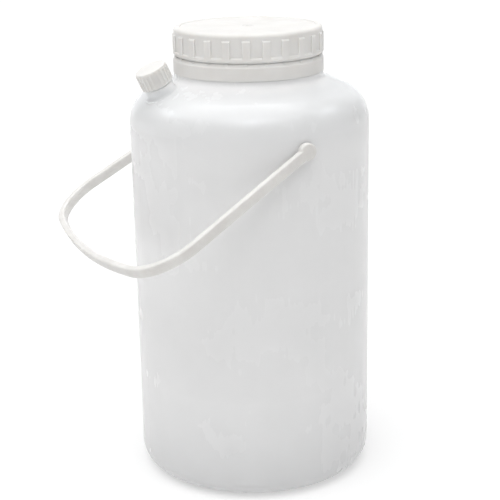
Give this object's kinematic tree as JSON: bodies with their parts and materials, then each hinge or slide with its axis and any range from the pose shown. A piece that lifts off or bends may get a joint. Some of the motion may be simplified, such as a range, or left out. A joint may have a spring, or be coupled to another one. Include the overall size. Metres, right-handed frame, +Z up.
{
  "type": "urine collection bottle",
  "caption": "Round translucent plastic collection bottle with a wide screw cap, a small capped pouring spout on the shoulder and a swinging carrying handle.",
  "frame": {"origin": "middle of the foot, on the bottle's axis, in the plane that the bottle stands on", "axes": "+Z up the bottle's axis, -X towards the pouring spout, Y along the handle's pivot axis"},
  "size_m": [0.177, 0.166, 0.267],
  "materials": {
    "translucent_hdpe": "natural blow-moulded HDPE, milky translucent, satin",
    "white_pp": "white injection-moulded polypropylene, satin",
    "foam_liner": "white polyethylene foam, matt",
    "white_hdpe": "white injection-moulded HDPE, satin"
  },
  "bodies": {
    "bottle": {"bottle_body": "translucent_hdpe", "tamper_ring": "white_pp"},
    "main_seal": {"cap_liner": "foam_liner"},
    "main_cap": {"main_cap": "white_pp"},
    "spout_seal": {"spout_cap_liner": "foam_liner"},
    "spout_cap": {"spout_cap": "white_pp"},
    "handle": {"carry_handle": "white_hdpe"}
  },
  "joints": [
    {"name": "main_cap_lift", "type": "slide", "parent": "bottle", "child": "main_seal", "axis": [0, 0, 1], "range_m": [0, 0.015]},
    {"name": "main_cap_turn", "type": "hinge", "parent": "main_seal", "child": "main_cap", "pos_m": [0, 0, 0.251], "axis": [0, 0, 1], "range_deg": [0, 900]},
    {"name": "spout_cap_lift", "type": "slide", "parent": "bottle", "child": "spout_seal", "axis": [-0.4226, 0, 0.9063], "range_m": [0, 0.01]},
    {"name": "spout_cap_turn", "type": "hinge", "parent": "spout_seal", "child": "spout_cap", "pos_m": [-0.05464, 0, 0.23291], "axis": [-0.4226, 0, 0.9063], "range_deg": [0, 1440]},
    {"name": "handle_swing", "type": "hinge", "parent": "bottle", "child": "handle", "pos_m": [0, 0, 0.2062], "axis": [0, 1, 0], "range_deg": [-22, 262]}
  ],
  "couplings": [
    {"joint": "main_cap_turn", "follows": "main_cap_lift", "rad_per_m": 1047.2},
    {"joint": "spout_cap_turn", "follows": "spout_cap_lift", "rad_per_m": 2513.3}
  ]
}
